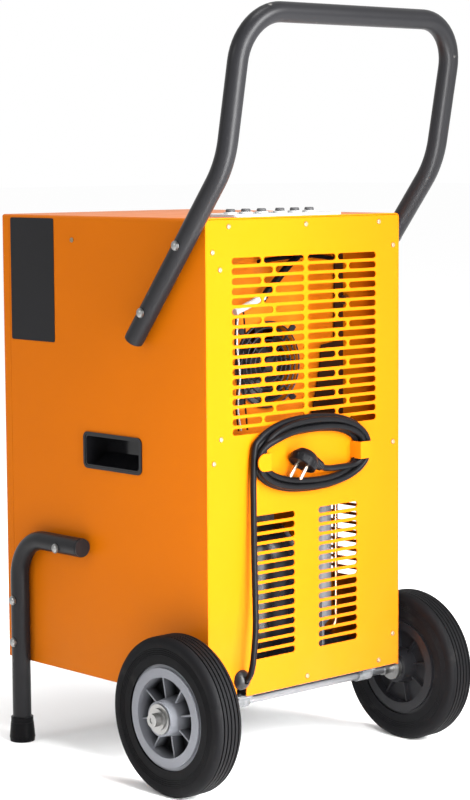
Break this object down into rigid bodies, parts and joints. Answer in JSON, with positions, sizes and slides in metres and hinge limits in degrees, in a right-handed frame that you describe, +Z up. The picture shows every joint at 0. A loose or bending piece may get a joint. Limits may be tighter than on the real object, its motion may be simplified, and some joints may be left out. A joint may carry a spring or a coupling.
{
  "type": "dehumidifier",
  "caption": "Upright sheet-metal dehumidifier with a bent tube push handle, rear slotted grilles, cord hooks, wheels at the back and tube legs at the front.",
  "frame": {"origin": "centre of the footprint box at floor level, cord left out", "axes": "+Z up, front with the air inlet and tank faces -Y, back with the outlet grille and cord hooks faces +Y"},
  "size_m": [0.4968, 0.5091, 0.9645],
  "materials": {
    "paint": "semi-gloss",
    "paint_rear": "semi-gloss",
    "paint_inner": "satin",
    "galvanised": "satin",
    "black_tube": "satin",
    "zinc": "polished",
    "screw_steel": "satin",
    "axle_steel": "satin",
    "tyre_rubber": "matte",
    "rim_plastic": "satin",
    "black_rubber": "satin",
    "black_plastic": "satin",
    "gloss_black": "glossy",
    "panel_plastic": "satin",
    "display": "glossy",
    "button": "satin",
    "pin_brass": "polished",
    "fan_black": "satin",
    "fins": "satin",
    "compressor_black": "semi-gloss",
    "copper": "satin",
    "drier_grey": "satin",
    "tank_plastic": "satin",
    "filter_mesh": "matte",
    "label": "satin"
  },
  "bodies": {
    "machine": {"case_wrap": "paint", "front_panel": "paint", "cord_hooks": "paint", "rear_panel": "paint_rear", "mid_deck": "paint_inner", "fan_shroud": "paint_inner", "base_pan": "galvanised", "tank_bay": "galvanised", "drip_tray": "galvanised", "axle_clamps": "galvanised", "push_handle": "black_tube", "leg_left": "black_tube", "leg_right": "black_tube", "handle_bolts": "zinc", "leg_bolts": "zinc", "axle_washers": "zinc", "axle_nuts": "zinc", "axle_spacers": "zinc", "panel_screws": "screw_steel", "axle": "axle_steel", "foot_left": "black_rubber", "foot_right": "black_rubber", "compressor_mounts": "black_rubber", "cord_lead": "black_rubber", "cord_coil": "black_rubber", "plug_body": "black_rubber", "leg_plugs": "black_plastic", "cord_gland": "black_plastic", "pocket_left": "gloss_black", "pocket_right": "gloss_black", "control_plate": "panel_plastic", "display_window": "display", "plug_pins": "pin_brass", "fan_motor": "fan_black", "fan_guard": "fan_black", "evaporator": "fins", "condenser": "fins", "compressor": "compressor_black", "copper_pipes": "copper", "filter_drier": "drier_grey", "label_plate": "label"},
    "wheel_left": {"tyre_left": "tyre_rubber", "rim_left": "rim_plastic"},
    "wheel_right": {"tyre_right": "tyre_rubber", "rim_right": "rim_plastic"},
    "fan": {"fan_blades": "fan_black"},
    "tank": {"water_tank": "tank_plastic", "tank_front": "black_plastic"},
    "float": {"tank_float": "tank_plastic"},
    "inlet": {"inlet_grille": "black_plastic", "air_filter": "filter_mesh"},
    "button_1": {"button_1": "button"},
    "button_2": {"button_2": "button"},
    "button_3": {"button_3": "button"},
    "button_4": {"button_4": "button"},
    "button_5": {"button_5": "button"},
    "button_6": {"button_6": "button"}
  },
  "joints": [
    {"name": "wheel_left_spin", "type": "hinge", "parent": "machine", "child": "wheel_left", "pos_m": [0.2075, 0.14045, 0.1], "axis": [1, 0, 0], "continuous": true},
    {"name": "wheel_right_spin", "type": "hinge", "parent": "machine", "child": "wheel_right", "pos_m": [-0.2075, 0.14045, 0.1], "axis": [1, 0, 0], "continuous": true},
    {"name": "fan_spin", "type": "hinge", "parent": "machine", "child": "fan", "pos_m": [-0.029, 0.03845, 0.512], "axis": [0, 1, 0], "continuous": true},
    {"name": "tank_slide", "type": "slide", "parent": "machine", "child": "tank", "axis": [0, -1, 0], "range_m": [0, 0.19]},
    {"name": "float_pivot", "type": "hinge", "parent": "tank", "child": "float", "pos_m": [-0.084, -0.08055, 0.334], "axis": [-1, 0, 0], "range_deg": [0, 30]},
    {"name": "inlet_slide", "type": "slide", "parent": "machine", "child": "inlet", "axis": [0, -1, 0], "range_m": [0, 0.06]},
    {"name": "button_1_press", "type": "slide", "parent": "machine", "child": "button_1", "axis": [0, 0, -1], "range_m": [0, 0.002], "stiffness_N_per_m": 500, "springref_m": -0.0008},
    {"name": "button_2_press", "type": "slide", "parent": "machine", "child": "button_2", "axis": [0, 0, -1], "range_m": [0, 0.002], "stiffness_N_per_m": 500, "springref_m": -0.0008},
    {"name": "button_3_press", "type": "slide", "parent": "machine", "child": "button_3", "axis": [0, 0, -1], "range_m": [0, 0.002], "stiffness_N_per_m": 500, "springref_m": -0.0008},
    {"name": "button_4_press", "type": "slide", "parent": "machine", "child": "button_4", "axis": [0, 0, -1], "range_m": [0, 0.002], "stiffness_N_per_m": 500, "springref_m": -0.0008},
    {"name": "button_5_press", "type": "slide", "parent": "machine", "child": "button_5", "axis": [0, 0, -1], "range_m": [0, 0.002], "stiffness_N_per_m": 500, "springref_m": -0.0008},
    {"name": "button_6_press", "type": "slide", "parent": "machine", "child": "button_6", "axis": [0, 0, -1], "range_m": [0, 0.002], "stiffness_N_per_m": 500, "springref_m": -0.0008}
  ]
}
